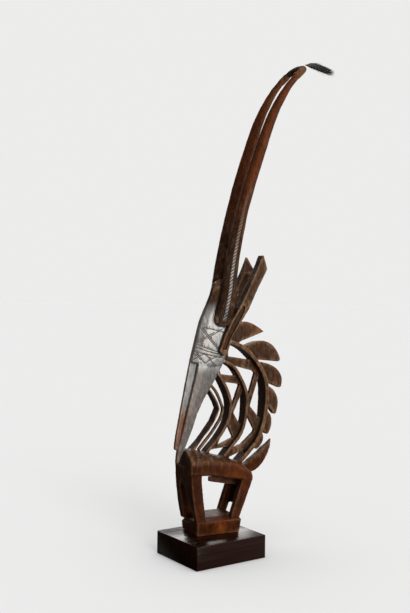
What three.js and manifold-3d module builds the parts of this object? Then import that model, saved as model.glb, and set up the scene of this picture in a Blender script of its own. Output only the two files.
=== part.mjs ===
// Wooden crest headdress: an antelope with long horns and an openwork mane, carved from one piece of wood,
// standing on a low polished plinth. Millimetres, +Z up. The animal faces -Y and its left side is +X.
import * as THREE from "three";
import { mergeVertices } from "three/addons/utils/BufferGeometryUtils.js";
import Module from "manifold-3d";

const wasm = await Module();
wasm.setup();

// Plinth
const PLINTH_WIDTH = 141;
const PLINTH_LENGTH = 163;
const PLINTH_HEIGHT = 45;
const PLINTH_BEVEL = 1;

// Where the carving stands on the plinth, turned a little to its right
const FIGURE_TURN_DEG = -10;
const FIGURE_X = -12.5;
const FIGURE_Y = 6.5;
const CONTACT_GAP = 0.3;

// From here on y runs from the face to the tail and z up from the top of the plinth.
// Standing block: its four corners [x, y, z] at the underside, at the worn upper edge and on the crowned top,
// from the front right round the left side
const BLOCK_BOTTOM = [
  [-36.5, -44, 0],
  [32.5, -43, 0],
  [31.5, 48.5, 0],
  [-36, 48, 0],
];
const BLOCK_EDGE = [
  [-39, -45.5, 15],
  [37, -44.5, 26.5],
  [35.5, 52, 27],
  [-38, 50, 27],
];
const BLOCK_CROWN = [
  [-24, -32, 35.5],
  [19, -34, 33],
  [20, 38, 33],
  [-24, 38, 36],
];

// Body: a log whose top falls towards the tail, chamfered in front and rounder behind.
// [y, top, shoulder height, underside, half width, squareness of the upper corners]
const BODY_SECTIONS = [
  [-59, 168, 141, 119, 37.5, 1.5],
  [-40, 165, 141, 118, 37.5, 1.8],
  [-15, 158, 139, 116.3, 37.5, 2.2],
  [17, 149, 134, 110, 36.5, 2.4],
  [42, 141, 129, 105.5, 35.5, 2.4],
  [62, 132.5, 122, 101, 34.5, 2.4],
  [72, 124, 117, 101, 32, 2.4],
  [77.5, 116, 111, 103, 28, 2.4],
];
// How much less far the right side stands out
const BODY_RIGHT_LESS = 2.5;
const BODY_LOWER_ROUND = 4;
const BODY_CORNER_POINTS = 7;

// Legs: side outlines [y, z], then the fronts and the hollow between left and right leg,
// both seen from the front [x, z].
// LEG_REACH is how far a cutting slab reaches to each side.
const LEG_REACH = 50;
const FORELEG_SIDE = [
  [-60.3, 133],
  [-60, 126],
  [-59, 110],
  [-57.2, 93],
  [-55, 77],
  [-52.6, 60],
  [-49.8, 44],
  [-46, 24],
  [-26, 24],
  [-30, 52],
  [-38, 121],
  [-38, 133],
];
const FORELEGS_YAW_DEG = 3;
const FORELEGS_FRONT = [
  [37.5, 134],
  [36.5, 120],
  [35, 106],
  [34, 84],
  [34, 61],
  [34.5, 39],
  [36, 24],
  [-38, 20],
  [-39, 35],
  [-39.5, 60],
  [-38.5, 89],
  [-36.5, 120],
  [-35.5, 134],
];
const FORELEGS_FROM_Y = -70;
const FORELEGS_TO_Y = -20;
const FORELEG_HOLLOW = [
  [-12, 106],
  [-1, 91],
  [7, 71.5],
  [14, 56.5],
  [20, 42],
  [22, 29],
  [-24, 26],
  [-22.5, 47],
  [-22.5, 86],
];
// Narrow groove that runs up the chest from the hollow
const CHEST_GROOVE_HALF = 1.6;
const CHEST_GROOVE_X = -12;
const CHEST_GROOVE_BOTTOM = 100;
const CHEST_GROOVE_TOP = 134;
const CHEST_GROOVE_DEPTH = 2.5;
const HIND_LEG_SIDE = [
  [50, 116],
  [54, 107],
  [46, 82],
  [30, 35],
  [29, 24],
  [46.5, 24],
  [48.8, 31.5],
  [76.5, 102],
  [77.5, 108],
  [75, 117.5],
  [60, 128],
];
const HIND_HALF = 34;
// The hollow leaves a web at the rear, open only at the bottom
const HIND_HOLLOW_SIDE = [
  [20, 29],
  [90, 29],
  [90, 47],
  [50, 50],
  [68, 96],
  [20, 96],
];
const HIND_HOLLOW_HALF = 20.5;
const HIND_REAR_HOLLOW_HALF = 25;
const HIND_REAR_HOLLOW_SIDE = [
  [44.5, 29],
  [90, 29],
  [90, 47],
  [50, 47],
];

// Rod under the belly
const ROD_HALF_WIDTH = 3.8;
const ROD_SIDE = [
  [-5, 108.5],
  [-5, 98.8],
  [29.5, 91.5],
  [64, 87],
  [66, 101],
  [30, 106],
];

// Lower face: a long wedge. [z, front, rear, half width at the front, half width at the rear]
const WEDGE_SECTIONS = [
  [139.5, -77, -70.5, 4, 3.8],
  [152, -76, -66.5, 4.6, 4.2],
  [164, -74, -60.5, 5.8, 5],
  [176, -71.5, -55.5, 7, 6],
  [206, -65.5, -44.5, 11, 9.5],
  [235, -59, -36, 12.6, 11],
  [264, -52, -22, 13.4, 12],
  [298, -43.5, -1, 14.2, 13],
  [314, -40, 8, 14.5, 13.5],
  [333, -36, 18, 14.5, 14],
];
// The wedge narrows to its front corners: by this share of its half width, set back by this share of it,
// from the widest place at this share of its depth
const WEDGE_FRONT_TAPER = 0.17;
const WEDGE_FRONT_SETBACK = 0.08;
const WEDGE_WIDEST = 0.33;

// Nose ridge down the middle of the lower face, with a nostril hole near its end
const RIDGE_HALF = 4;
const RIDGE_SIDE = [
  [-30, 345],
  [-47.6, 345],
  [-50, 334],
  [-64, 263],
  [-75.5, 202],
  [-79, 178],
  [-80, 168.5],
  [-78.5, 165],
  [-72.5, 164.5],
  [-60, 190],
  [-30, 320],
];
const NOSTRIL_Y = -76;
const NOSTRIL_Z = 173.5;
const NOSTRIL_RADIUS = 1.3;
const NOSTRIL_DEPTH = 2.2;
const NOSTRIL_SIDES = 10;

// Upper head: [z, front, rear, half width, rise of the lower edge towards the front]
const HEAD_SECTIONS = [
  [330, -46.6, 16, 16, 6],
  [334, -47.6, 19, 16.5, 6],
  [359, -42.6, 27, 18, 0],
  [390, -35.1, 35, 18.5, 0],
  [418, -27.6, 41, 18, 0],
  [435, -20.6, 42, 17, 0],
  [452, -12.6, 42, 16, 0],
  [469, -5.6, 40, 16, 0],
  [484, -1.1, 37, 15, 0],
  [494, 4.4, 34, 12, 0],
  [500, 13, 31, 8, 0],
];
const FOREHEAD_HALF = 6.5;
const FOREHEAD_MOST = 0.45;
// Its sides swell from the narrow forehead to the ears: [share of the depth, share of the half width]
const HEAD_SIDE = [
  [0.2, 0.74],
  [0.44, 0.92],
  [0.68, 1],
];
const HEAD_REAR_CORNER = 4;

// Horns: [z, y, distance from the middle plane, half depth front to back, half width]
const HORN_SECTIONS = [
  [408, 9, 22, 8, 5],
  [412, 9.5, 22.5, 15, 9],
  [420, 11, 23, 18.5, 12],
  [434, 15, 24, 18.5, 14],
  [452, 19.5, 24.5, 16.8, 14.5],
  [474, 22.5, 24.5, 15.2, 14.2],
  [505, 26, 24, 13.9, 13.6],
  [540, 31, 24, 13, 13],
  [590, 40.5, 24, 12.2, 12.2],
  [640, 52, 24, 11.6, 11.6],
  [690, 66, 24.6, 11.8, 11.8],
  [740, 82, 25.5, 11.8, 11.8],
  [780, 95, 26.2, 11.2, 11.2],
  [820, 109.5, 27, 10.2, 10.2],
  [850, 123, 28.2, 9, 9],
  [875, 137, 29.2, 8.1, 8.1],
  [895, 150, 30.3, 7.1, 7.1],
  [912, 164, 31.2, 6.4, 6.4],
  [917, 168.5, 31.4, 7.3, 7],
  [928, 179.5, 31.8, 7.3, 7],
  [933, 184.5, 32, 5.6, 5.6],
];
const HORN_SIDES = 16;
// The left tip is cut flat on its outer side
const TIP_CUT_X = 36;
const TIP_CUT_OUTSIDE = 46;
const TIP_CUT_FROM_Y = 140;
const TIP_CUT_TO_Y = 220;
const TIP_CUT_FROM_Z = 908;
const TIP_CUT_TO_Z = 958;

// Bridge that joins the two horn tips, a little crowned: [x, y, z, radius]
const BRIDGE_SECTIONS = [
  [-32, 183, 931.5, 6],
  [-26, 184.5, 934.2, 6.6],
  [-12, 186.5, 936.8, 6.8],
  [2, 187, 937.2, 6.8],
  [16, 186.5, 935.8, 6.6],
  [27, 185.5, 933.5, 6.4],
  [32, 184, 931, 6],
];
const BRIDGE_SIDES = 12;

// Ears: a long leaf that leans outward, a trough in its outer side, and a short slat between leaf and horn.
// Side outlines [y, z].
const EAR_INNER = 17;
const EAR_SIDE = [
  [3, 359],
  [11, 349],
  [21, 356],
  [28, 383],
  [40, 403],
  [50, 420],
  [57, 432],
  [63, 442],
  [82, 484],
  [103, 522],
  [94, 549.5],
  [91, 549.5],
  [84, 532],
  [71, 504],
  [60, 480],
  [46, 453],
  [35, 434],
  [25, 414],
  [14, 391],
];
// All that lies inside the ear's outer side, seen from the front [x, z]
const EAR_OUTER = [
  [30, 340],
  [30, 388],
  [37, 445],
  [37, 560],
  [0, 560],
  [0, 340],
];
const EAR_TROUGH_SIDE = [
  [8.5, 362],
  [17, 362],
  [26.5, 386],
  [35, 400],
  [44, 419],
  [52, 435],
  [54, 446],
  [50.5, 449],
  [39.5, 432],
  [28.5, 414],
  [20, 392],
];
const EAR_TROUGH_DEPTH = 5;
const EAR_TROUGH_MOUTH = 42;
const EAR_SLAT_INNER = 18;
const EAR_SLAT_OUTER = 29;
const EAR_SLAT_SIDE = [
  [24, 482],
  [33, 482],
  [43, 471],
  [36.5, 459],
  [29, 434],
  [22, 420],
  [12, 420],
  [14, 440],
];
// The top of the right ear is worn to a slant, seen from the front [x, z]
const RIGHT_EAR_WORN = [
  [-38, 551.5],
  [-15, 512],
  [-12, 555],
];
const EAR_WORN_FROM_Y = 60;
const EAR_WORN_TO_Y = 120;

// Mane: curved strips that run from the back of the head to the body. Centre lines [y, z]
const STRIP_POINTS = 26;
const STRIPS_FROM_Y = -60;
const STRIPS_TO_Y = 140;
const OUTER_STRIP = {
  thick: 8,
  front: [
    [-17.5, 400],
    [-17.5, 265],
    [-13.5, 225],
    [-12, 150],
    [-12, 110],
    [16.5, 110],
    [17, 225],
    [17.5, 265],
    [17.5, 400],
  ],
  line: [
    [20, 381],
    [40, 374],
    [60, 366],
    [80, 350],
    [98, 329],
    [110, 309],
    [115.5, 288],
    [117, 266],
    [115, 238],
    [109, 207],
    [97, 178],
    [81, 159],
    [62, 140],
    [48, 127],
  ],
};
const MIDDLE_STRIP = {
  thick: 6,
  front: [
    [-15, 350],
    [-14.5, 250],
    [-12.5, 205],
    [-12, 120],
    [14, 120],
    [14.5, 250],
    [15, 350],
  ],
  line: [
    [6, 344],
    [31, 333],
    [46, 322],
    [60, 300],
    [70, 278],
    [73, 258],
    [71, 228],
    [66, 206],
    [57, 187],
    [40, 168],
    [25, 150],
    [17, 140],
  ],
};
const INNER_STRIP = {
  thick: 6,
  front: [
    [-17, 330],
    [-16.5, 285],
    [-14, 245],
    [-12, 205],
    [-11.5, 140],
    [12.5, 140],
    [13.5, 205],
    [14, 245],
    [16, 285],
    [16, 330],
  ],
  line: [
    [-8, 320],
    [9, 312],
    [27, 281],
    [35, 260],
    [36, 241],
    [32, 221],
    [22, 201],
    [7, 181],
    [-10, 163],
    [-18, 153],
  ],
};
const ROD_STRIP = {
  thick: 5,
  front: [
    [-4, 310],
    [-4, 150],
    [4, 150],
    [4, 310],
  ],
  line: [
    [-8, 296],
    [6.8, 279],
    [13.8, 267.5],
    [18.5, 257],
    [22.5, 247],
    [23.8, 240],
    [22, 231],
    [18, 221],
    [10.5, 210],
    [2.5, 198.5],
    [-4.5, 190],
    [-14, 179],
    [-28, 163],
  ],
};
const FRONT_STRIP_HALF = 12.5;
const FRONT_STRIP_SIDE = [
  [-18, 292],
  [-12.5, 283],
  [-2.8, 268],
  [5.2, 254.5],
  [9.8, 243],
  [4.5, 231],
  [-1.5, 218],
  [-8.5, 209],
  [-16.5, 198],
  [-30.5, 180.6],
  [-43.5, 168],
  [-50, 162.5],
  [-57, 159],
  [-46, 156],
  [-36, 170],
  [-19.5, 191.8],
  [-10.5, 200.7],
  [-2, 212.6],
  [7.1, 227.9],
  [12.6, 242.5],
  [11.2, 249],
  [7.7, 258.1],
  [0.8, 269.6],
  [-6.8, 280],
  [-14, 290],
];

// Zigzag struts between the strips: thin plates with these openings [y, z]
const STRUT_HALF = 5;
const INNER_WEB = [
  [5, 342],
  [30, 335],
  [45, 325],
  [60, 300],
  [72, 262],
  [71, 228],
  [57, 187],
  [25, 150],
  [15, 138],
  [-20, 148],
  [-10, 163],
  [22, 201],
  [36, 241],
  [27, 281],
  [9, 312],
  [-5, 320],
];
const INNER_OPENINGS = [
  [
    [11, 330],
    [18, 311],
    [50, 307],
    [38, 323],
    [24, 333],
  ],
  [
    [20, 296],
    [60, 290.5],
    [42, 241],
    [32, 262],
  ],
  [
    [47, 233],
    [70, 285],
    [77, 245],
    [73, 220],
    [64, 205],
  ],
  [
    [32, 213],
    [46.5, 183.5],
    [11, 169],
  ],
  [
    [-4, 162],
    [36, 166],
    [12, 140],
    [-8, 150],
  ],
];
const OUTER_WEB = [
  [20, 384],
  [60, 366],
  [80, 350],
  [110, 309],
  [117, 266],
  [109, 207],
  [97, 178],
  [62, 140],
  [46, 126],
  [14, 136],
  [40, 168],
  [57, 187],
  [71, 228],
  [73, 258],
  [60, 300],
  [45, 325],
  [28, 335],
  [15, 340],
];
const OUTER_OPENINGS = [
  [
    [33, 347],
    [84, 339],
    [60, 366],
    [36, 376],
  ],
  [
    [46, 328],
    [90, 316.5],
    [94, 312],
    [79, 263],
    [70, 280],
  ],
  [
    [84, 245.5],
    [106, 313],
    [119, 290],
    [119, 245],
    [113, 212],
  ],
  [
    [76, 230],
    [94.5, 197],
    [92.5, 192],
    [67, 169],
    [44, 162],
  ],
  [
    [80, 161],
    [57, 132],
    [32, 142],
  ],
];

// Leaf-shaped fins on the outer strip, and the tail. Outlines [y, z]
const FIN_HALF = 8;
const FINS = [
  [
    [30, 410],
    [48, 413],
    [62, 416.5],
    [74, 416.5],
    [85, 413],
    [94, 408.5],
    [104, 402.5],
    [112.5, 396],
    [86, 386],
    [62, 377.5],
    [52, 372],
    [30, 372],
  ],
  [
    [64, 364],
    [72, 369],
    [82, 373],
    [93, 376.5],
    [112, 377.5],
    [123, 374.5],
    [132.5, 369],
    [139, 362.5],
    [144.5, 355],
    [149, 346],
    [151.5, 338],
    [147, 334.5],
    [98, 339],
    [84, 348],
  ],
  [
    [98, 333],
    [104, 334.5],
    [113, 333],
    [123, 330.5],
    [132, 327],
    [141, 322],
    [147.5, 316.5],
    [152.5, 309.5],
    [155.5, 302],
    [156, 294],
    [155, 284],
    [151, 280.5],
    [137, 286],
    [114, 297],
  ],
  [
    [114, 290],
    [124, 285.5],
    [130, 282],
    [136.5, 277],
    [142, 269],
    [146, 260],
    [147.5, 251],
    [146.5, 241],
    [143, 229],
    [139, 226.5],
    [126, 243],
    [116, 258],
  ],
  [
    [113, 239],
    [124.5, 233.5],
    [129.5, 227],
    [132.5, 219],
    [133, 207],
    [130, 197],
    [126.5, 189],
    [121.5, 186],
    [114, 194],
    [108, 206],
  ],
  [
    [104, 198],
    [112, 190],
    [114.5, 183],
    [114, 175],
    [110.5, 168],
    [105, 161],
    [99, 157],
    [88, 163],
  ],
];
// The mane is cut off where it would run into the face, side outline [y, z]
const MANE_CUT_HALF = 30;
const MANE_CUT_SIDE = [
  [-110, 180],
  [-58, 180],
  [-48.5, 206],
  [-26, 264],
  [-5, 298],
  [14, 333],
  [23, 359],
  [31, 390],
  [36, 418],
  [-110, 418],
];
const TAIL_HALF = 8;
// The tail is thinned on its right side towards the tip, seen from the front [x, z]
const TAIL_THINNED = [
  [-9, 158],
  [4, 181],
  [-9, 181],
];
const TAIL_THINNED_FROM_Y = 90;
const TAIL_THINNED_TO_Y = 150;
const TAIL_SIDE = [
  [131, 178],
  [131, 170],
  [129.5, 160],
  [125.5, 149],
  [120, 139],
  [113, 129],
  [105, 120.5],
  [97, 115.5],
  [88, 112],
  [72, 112],
  [60, 122],
  [79, 132.3],
  [103, 149.5],
  [123, 167],
];

// Hair tuft and the thread that ties it to the near horn tip: [x, y, z, half depth, half width]
const TUFT_RINGS = [
  [33, 193, 939.5, 1.2, 1.2],
  [33.5, 196, 939.5, 3.2, 3],
  [34, 203, 939.4, 5, 4.8],
  [35, 212, 938.2, 6, 5.6],
  [36, 223, 935.6, 5.6, 5],
  [37.5, 236, 932, 4.2, 4],
  [39, 246, 929.3, 2.6, 2.6],
  [40, 252, 927.6, 0.8, 0.8],
];
const TUFT_SIDES = 10;
const BINDING_RINGS = [
  [30.5, 186, 939.9, 1, 1],
  [31.5, 188.4, 940, 1.2, 1.2],
  [32.5, 191, 939.5, 1.2, 1.2],
  [32.8, 192.4, 939.3, 1, 1],
];
const BINDING_SIDES = 8;

const COLOURS = {
  headdress: 0x6a4a33,
  plinth: 0x2b1a14,
  hair_tuft: 0x1b1720,
  tip_binding: 0x8a4a3a,
};

// A geometry as a solid that can be joined and cut
function solidOf(geometry) {
  geometry.deleteAttribute("normal");
  geometry.deleteAttribute("uv");
  const merged = mergeVertices(geometry, 1e-3);
  const mesh = new wasm.Mesh({
    numProp: 3,
    vertProperties: merged.getAttribute("position").array,
    triVerts: new Uint32Array(merged.index.array),
  });
  return new wasm.Manifold(mesh);
}

// A solid as a named mesh
function meshOf(solid, name) {
  const data = solid.getMesh();
  const indexed = new THREE.BufferGeometry();
  indexed.setAttribute("position", new THREE.BufferAttribute(data.vertProperties, 3));
  indexed.setIndex(new THREE.BufferAttribute(data.triVerts, 1));
  const geometry = indexed.toNonIndexed();
  geometry.computeVertexNormals();
  const mesh = new THREE.Mesh(geometry, new THREE.MeshStandardMaterial({ color: COLOURS[name] }));
  mesh.name = name;
  return mesh;
}

function shapeOf(outline) {
  return new THREE.Shape(outline.map(([across, up]) => new THREE.Vector2(across, up)));
}

// Side outline [y, z] as a slab between two distances from the middle plane
function sideSlab(outline, from, to) {
  const geometry = new THREE.ExtrudeGeometry(shapeOf(outline), { depth: to - from, bevelEnabled: false });
  const axes = new THREE.Matrix4().makeBasis(
    new THREE.Vector3(0, 1, 0),
    new THREE.Vector3(0, 0, 1),
    new THREE.Vector3(1, 0, 0),
  );
  geometry.applyMatrix4(axes);
  geometry.translate(from, 0, 0);
  return solidOf(geometry);
}

// Front outline [x, z] as a slab between two places from face to tail
function frontSlab(outline, from, to) {
  const geometry = new THREE.ExtrudeGeometry(shapeOf(outline), { depth: to - from, bevelEnabled: false });
  geometry.rotateX(Math.PI / 2);
  geometry.translate(0, to, 0);
  return solidOf(geometry);
}

// Rings of equal count joined one after the other. Each ring runs counter-clockwise seen from the next one.
function loft(rings) {
  const count = rings[0].length;
  const points = rings.flat();
  const faces = [];
  for (let r = 0; r < rings.length - 1; r++) {
    for (let k = 0; k < count; k++) {
      const a = r * count + k;
      const b = r * count + ((k + 1) % count);
      faces.push(a, b, b + count, a, b + count, a + count);
    }
  }
  const last = (rings.length - 1) * count;
  for (let k = 1; k < count - 1; k++) {
    faces.push(0, k + 1, k, last, last + k, last + k + 1);
  }
  const geometry = new THREE.BufferGeometry().setFromPoints(points);
  geometry.setIndex(faces);
  return solidOf(geometry);
}

// Ring at height z given as its left half [x, y, rise] from front to rear, mirrored to the right
function mirroredRing(half, z) {
  const left = half.map(([x, y, rise = 0]) => new THREE.Vector3(x, y, z + rise));
  const right = half.map(([x, y, rise = 0]) => new THREE.Vector3(-x, y, z + rise)).reverse();
  return [...left, ...right];
}

function mirrorX(solid) {
  return solid.mirror([1, 0, 0]);
}

function joined(solids) {
  return solids.reduce((whole, next) => whole.add(next));
}

function makeBlock() {
  const rings = [BLOCK_BOTTOM, BLOCK_EDGE, BLOCK_CROWN];
  return loft(rings.map((ring) => ring.map((corner) => new THREE.Vector3(...corner))));
}

// Upright section of the body at one y, counter-clockwise seen from the tail
function bodyRing([y, top, shoulder, bottom, half, squareness]) {
  const side = [
    [half - BODY_LOWER_ROUND, bottom],
    [half, bottom + BODY_LOWER_ROUND],
  ];
  for (let k = 0; k <= BODY_CORNER_POINTS; k++) {
    const angle = (k / BODY_CORNER_POINTS) * (Math.PI / 2);
    const across = Math.cos(angle) ** (2 / squareness);
    const up = Math.sin(angle) ** (2 / squareness);
    side.push([half * across, shoulder + (top - shoulder) * up]);
  }
  const left = side.map(([x, z]) => new THREE.Vector3(x, y, z));
  const right = side.slice(0, -1).map(([x, z]) => new THREE.Vector3(BODY_RIGHT_LESS - x, y, z));
  return [...left, ...right.reverse()].reverse();
}

function makeBody() {
  return loft(BODY_SECTIONS.map(bodyRing));
}

function makeForelegs() {
  const sides = sideSlab(FORELEG_SIDE, -LEG_REACH, LEG_REACH).rotate([0, 0, FORELEGS_YAW_DEG]);
  const front = frontSlab(FORELEGS_FRONT, FORELEGS_FROM_Y, FORELEGS_TO_Y);
  const hollow = frontSlab(FORELEG_HOLLOW, FORELEGS_FROM_Y, FORELEGS_TO_Y);
  return sides.intersect(front).subtract(hollow);
}

function makeHindLegs() {
  const sides = sideSlab(HIND_LEG_SIDE, -HIND_HALF, HIND_HALF);
  const hollow = sideSlab(HIND_HOLLOW_SIDE, -HIND_HOLLOW_HALF, HIND_HOLLOW_HALF);
  const rearHollow = sideSlab(HIND_REAR_HOLLOW_SIDE, -HIND_REAR_HOLLOW_HALF, HIND_REAR_HOLLOW_HALF);
  return sides.subtract(hollow).subtract(rearHollow);
}

function makeChestGroove() {
  const outline = [
    [CHEST_GROOVE_X + CHEST_GROOVE_HALF, CHEST_GROOVE_BOTTOM],
    [CHEST_GROOVE_X, CHEST_GROOVE_TOP],
    [CHEST_GROOVE_X - CHEST_GROOVE_HALF, CHEST_GROOVE_BOTTOM],
  ];
  return frontSlab(outline, FORELEGS_FROM_Y, BODY_SECTIONS[0][0] + CHEST_GROOVE_DEPTH);
}

// The slim rod under the belly, its front end free
function makeRod() {
  return sideSlab(ROD_SIDE, -ROD_HALF_WIDTH, ROD_HALF_WIDTH);
}

function makeWedge() {
  const rings = WEDGE_SECTIONS.map(([z, front, rear, halfFront, halfRear]) => {
    const ring = [
      [halfFront * (1 - WEDGE_FRONT_TAPER), front + halfFront * WEDGE_FRONT_SETBACK],
      [halfFront, front + (rear - front) * WEDGE_WIDEST],
      [halfRear, rear],
    ];
    return mirroredRing(ring, z);
  });
  return loft(rings);
}

function makeRidge() {
  const ridge = sideSlab(RIDGE_SIDE, -RIDGE_HALF, RIDGE_HALF);
  const hole = new THREE.CylinderGeometry(NOSTRIL_RADIUS, NOSTRIL_RADIUS, NOSTRIL_DEPTH * 2, NOSTRIL_SIDES);
  hole.rotateZ(Math.PI / 2);
  hole.translate(RIDGE_HALF, NOSTRIL_Y, NOSTRIL_Z);
  const nostril = solidOf(hole);
  return ridge.subtract(nostril).subtract(mirrorX(nostril));
}

function makeUpperHead() {
  const rings = HEAD_SECTIONS.map(([z, front, rear, half, rise]) => {
    const depth = rear - front;
    const ring = [
      [Math.min(FOREHEAD_HALF, half * FOREHEAD_MOST), front, rise],
      ...HEAD_SIDE.map(([back, out]) => [half * out, front + depth * back, rise * Math.max(0, 1 - 2 * back)]),
      [half, rear - HEAD_REAR_CORNER],
      [half - HEAD_REAR_CORNER, rear],
    ];
    return mirroredRing(ring, z);
  });
  return loft(rings);
}

// The left horn: elliptical rings set across its curved centre line
function makeHorn() {
  const centres = HORN_SECTIONS.map(([z, y, apart]) => new THREE.Vector3(apart, y, z));
  const rings = HORN_SECTIONS.map(([, , , halfDepth, halfWidth], i) => {
    const before = centres[Math.max(i - 1, 0)];
    const after = centres[Math.min(i + 1, centres.length - 1)];
    const along = after.clone().sub(before).normalize();
    const across = new THREE.Vector3(1, 0, 0);
    const back = along.clone().cross(across).normalize();
    const ring = [];
    for (let k = 0; k < HORN_SIDES; k++) {
      const angle = (k / HORN_SIDES) * 2 * Math.PI;
      const point = centres[i].clone();
      point.addScaledVector(across, halfWidth * Math.cos(angle));
      point.addScaledVector(back, halfDepth * Math.sin(angle));
      ring.push(point);
    }
    return ring;
  });
  return loft(rings);
}

// Ring across the x axis, counter-clockwise seen from +X
function crossRing([x, y, z, radius], sides) {
  const ring = [];
  for (let k = 0; k < sides; k++) {
    const angle = (k / sides) * 2 * Math.PI;
    ring.push(new THREE.Vector3(x, y + radius * Math.cos(angle), z + radius * Math.sin(angle)));
  }
  return ring;
}

function makeBridge() {
  return loft(BRIDGE_SECTIONS.map((section) => crossRing(section, BRIDGE_SIDES)));
}

function makeTipCut() {
  const outline = [
    [TIP_CUT_X, TIP_CUT_FROM_Z],
    [TIP_CUT_OUTSIDE, TIP_CUT_FROM_Z],
    [TIP_CUT_OUTSIDE, TIP_CUT_TO_Z],
    [TIP_CUT_X, TIP_CUT_TO_Z],
  ];
  return frontSlab(outline, TIP_CUT_FROM_Y, TIP_CUT_TO_Y);
}

// The left ear
function makeEar() {
  const inside = frontSlab(EAR_OUTER, 0, EAR_WORN_TO_Y);
  const leaf = sideSlab(EAR_SIDE, EAR_INNER, EAR_TROUGH_MOUTH).intersect(inside);
  const floor = inside.translate([-EAR_TROUGH_DEPTH, 0, 0]);
  const trough = sideSlab(EAR_TROUGH_SIDE, EAR_INNER, EAR_TROUGH_MOUTH).subtract(floor);
  const slat = sideSlab(EAR_SLAT_SIDE, EAR_SLAT_INNER, EAR_SLAT_OUTER);
  return leaf.subtract(trough).add(slat);
}

function makeRightEar() {
  return mirrorX(makeEar()).subtract(frontSlab(RIGHT_EAR_WORN, EAR_WORN_FROM_Y, EAR_WORN_TO_Y));
}

function makeTail() {
  const thinned = frontSlab(TAIL_THINNED, TAIL_THINNED_FROM_Y, TAIL_THINNED_TO_Y);
  return sideSlab(TAIL_SIDE, -TAIL_HALF, TAIL_HALF).subtract(thinned);
}

// A strip of even thickness along a smooth centre line [y, z], its width given by a front outline [x, z]
function stripSlab({ thick, front, line }) {
  const curve = new THREE.SplineCurve(line.map(([y, z]) => new THREE.Vector2(y, z)));
  const inner = [];
  const outer = [];
  for (let k = 0; k <= STRIP_POINTS; k++) {
    const at = curve.getPointAt(k / STRIP_POINTS);
    const along = curve.getTangentAt(k / STRIP_POINTS);
    inner.push([at.x - (along.y * thick) / 2, at.y + (along.x * thick) / 2]);
    outer.push([at.x + (along.y * thick) / 2, at.y - (along.x * thick) / 2]);
  }
  const reach = Math.max(...front.map(([x]) => Math.abs(x))) + 1;
  const wide = sideSlab([...inner, ...outer.reverse()], -reach, reach);
  return wide.intersect(frontSlab(front, STRIPS_FROM_Y, STRIPS_TO_Y));
}

// A thin plate between two strips with its openings cut out
function webPlate(outline, openings) {
  const plate = sideSlab(outline, -STRUT_HALF, STRUT_HALF);
  const cuts = openings.map((opening) => sideSlab(opening, -STRUT_HALF - 1, STRUT_HALF + 1));
  return plate.subtract(joined(cuts));
}

// Strips, zigzag struts, fins and tail
function makeMane() {
  return joined([
    stripSlab(OUTER_STRIP),
    stripSlab(MIDDLE_STRIP),
    stripSlab(INNER_STRIP),
    stripSlab(ROD_STRIP),
    sideSlab(FRONT_STRIP_SIDE, -FRONT_STRIP_HALF, FRONT_STRIP_HALF),
    webPlate(INNER_WEB, INNER_OPENINGS),
    webPlate(OUTER_WEB, OUTER_OPENINGS),
    ...FINS.map((fin) => sideSlab(fin, -FIN_HALF, FIN_HALF)),
    makeTail(),
  ]).subtract(sideSlab(MANE_CUT_SIDE, -MANE_CUT_HALF, MANE_CUT_HALF));
}

function makeHeaddress() {
  const horn = makeHorn();
  return joined([
    makeBlock(),
    makeBody(),
    makeForelegs(),
    makeHindLegs(),
    makeRod(),
    makeWedge(),
    makeRidge(),
    makeUpperHead(),
    horn,
    mirrorX(horn),
    makeBridge(),
    makeEar(),
    makeRightEar(),
    makeMane(),
  ])
    .subtract(makeChestGroove())
    .subtract(makeTipCut());
}

// A small rounded solid through rings that stand across the y axis
function spindle(rows, sides) {
  const rings = rows.map(([x, y, z, halfDepth, halfWidth]) => {
    const ring = [];
    for (let k = 0; k < sides; k++) {
      const angle = (k / sides) * 2 * Math.PI;
      ring.push(new THREE.Vector3(x - halfWidth * Math.cos(angle), y, z + halfDepth * Math.sin(angle)));
    }
    return ring;
  });
  return loft(rings);
}

function makePlinth() {
  const corner = (width, length, z) => {
    const x = width / 2;
    const y = length / 2;
    return mirroredRing(
      [
        [x, -y],
        [x, y],
      ],
      z,
    );
  };
  const bevel = PLINTH_BEVEL;
  return loft([
    corner(PLINTH_WIDTH, PLINTH_LENGTH, 0),
    corner(PLINTH_WIDTH, PLINTH_LENGTH, PLINTH_HEIGHT - bevel),
    corner(PLINTH_WIDTH - 2 * bevel, PLINTH_LENGTH - 2 * bevel, PLINTH_HEIGHT),
  ]);
}

const figure = new THREE.Group();
figure.name = "figure";
figure.rotation.z = THREE.MathUtils.degToRad(FIGURE_TURN_DEG);
figure.position.set(FIGURE_X, FIGURE_Y, PLINTH_HEIGHT + CONTACT_GAP);
figure.add(meshOf(makeHeaddress(), "headdress"));
figure.add(meshOf(spindle(TUFT_RINGS, TUFT_SIDES), "hair_tuft"));
figure.add(meshOf(spindle(BINDING_RINGS, BINDING_SIDES), "tip_binding"));

const crest = new THREE.Group();
crest.name = "crest_headdress";
crest.add(meshOf(makePlinth(), "plinth"));
crest.add(figure);

export default crest;
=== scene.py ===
import math

import bpy
import numpy as np
from mathutils import Matrix, Vector


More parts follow.
